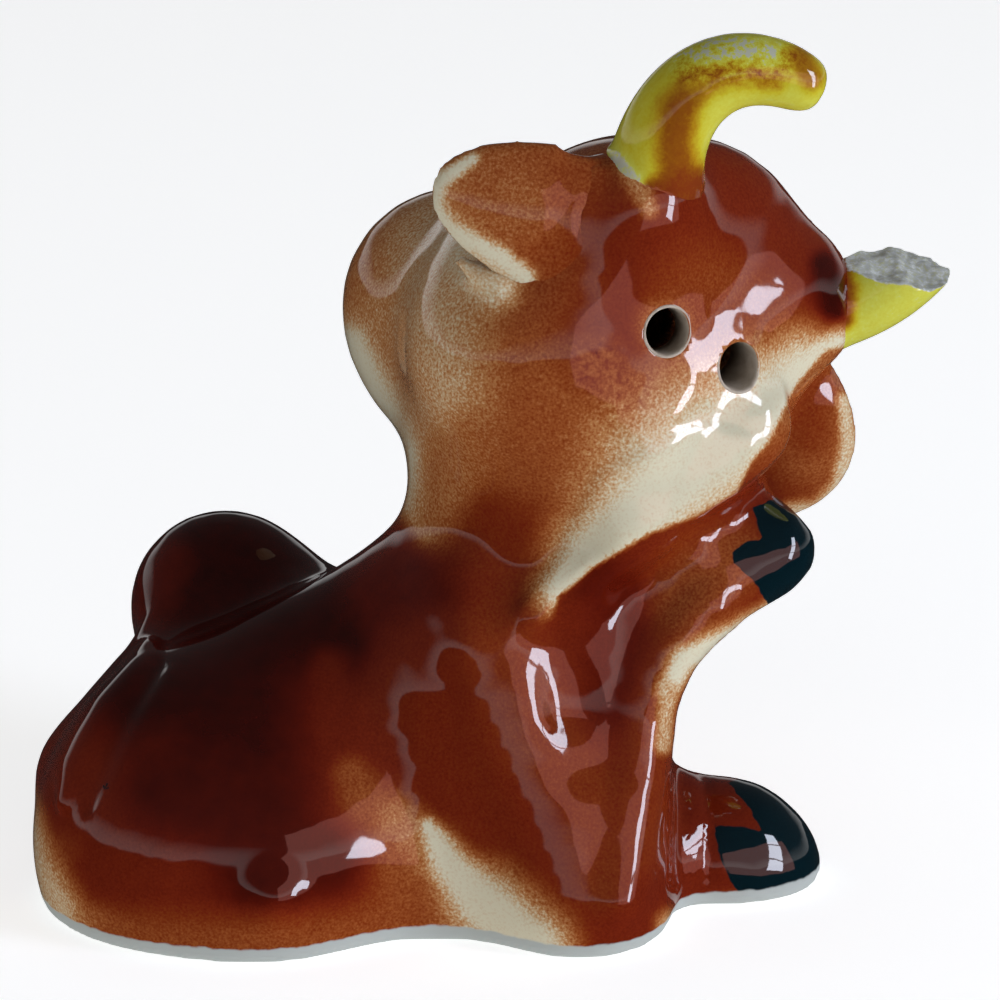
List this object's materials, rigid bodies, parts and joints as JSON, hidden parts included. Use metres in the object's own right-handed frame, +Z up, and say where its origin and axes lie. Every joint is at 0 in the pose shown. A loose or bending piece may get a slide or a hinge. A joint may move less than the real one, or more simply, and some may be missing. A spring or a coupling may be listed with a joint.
{
  "type": "pepper shaker",
  "caption": "Hollow glazed ceramic pepper shaker shaped as a lying cow, with pour holes in the back of its head and a cork in its foot.",
  "frame": {"origin": "on the surface it stands on, under the middle of its bounding box", "axes": "+Z up, +X towards the chest and away from the rump, +Y towards the side that the face is turned to"},
  "size_m": [0.0754, 0.0444, 0.0735],
  "materials": {
    "body_glaze": "gloss glaze, airbrushed from maroon-brown to tan and cream",
    "horn_glaze": "gloss glaze, lime yellow with brown overspray",
    "ear_glaze": "gloss glaze, mottled brown with pale edges",
    "cork": "plain ground cork"
  },
  "bodies": {
    "ceramic": {"cast_body": "body_glaze", "horn_whole": "horn_glaze", "horn_stub": "horn_glaze", "ear_near": "ear_glaze", "ear_hanging": "ear_glaze"},
    "stopper": {"stopper": "cork"}
  },
  "joints": [
    {"name": "stopper_pull", "type": "slide", "parent": "ceramic", "child": "stopper", "axis": [0, 0, -1], "range_m": [0, 0.02]}
  ]
}
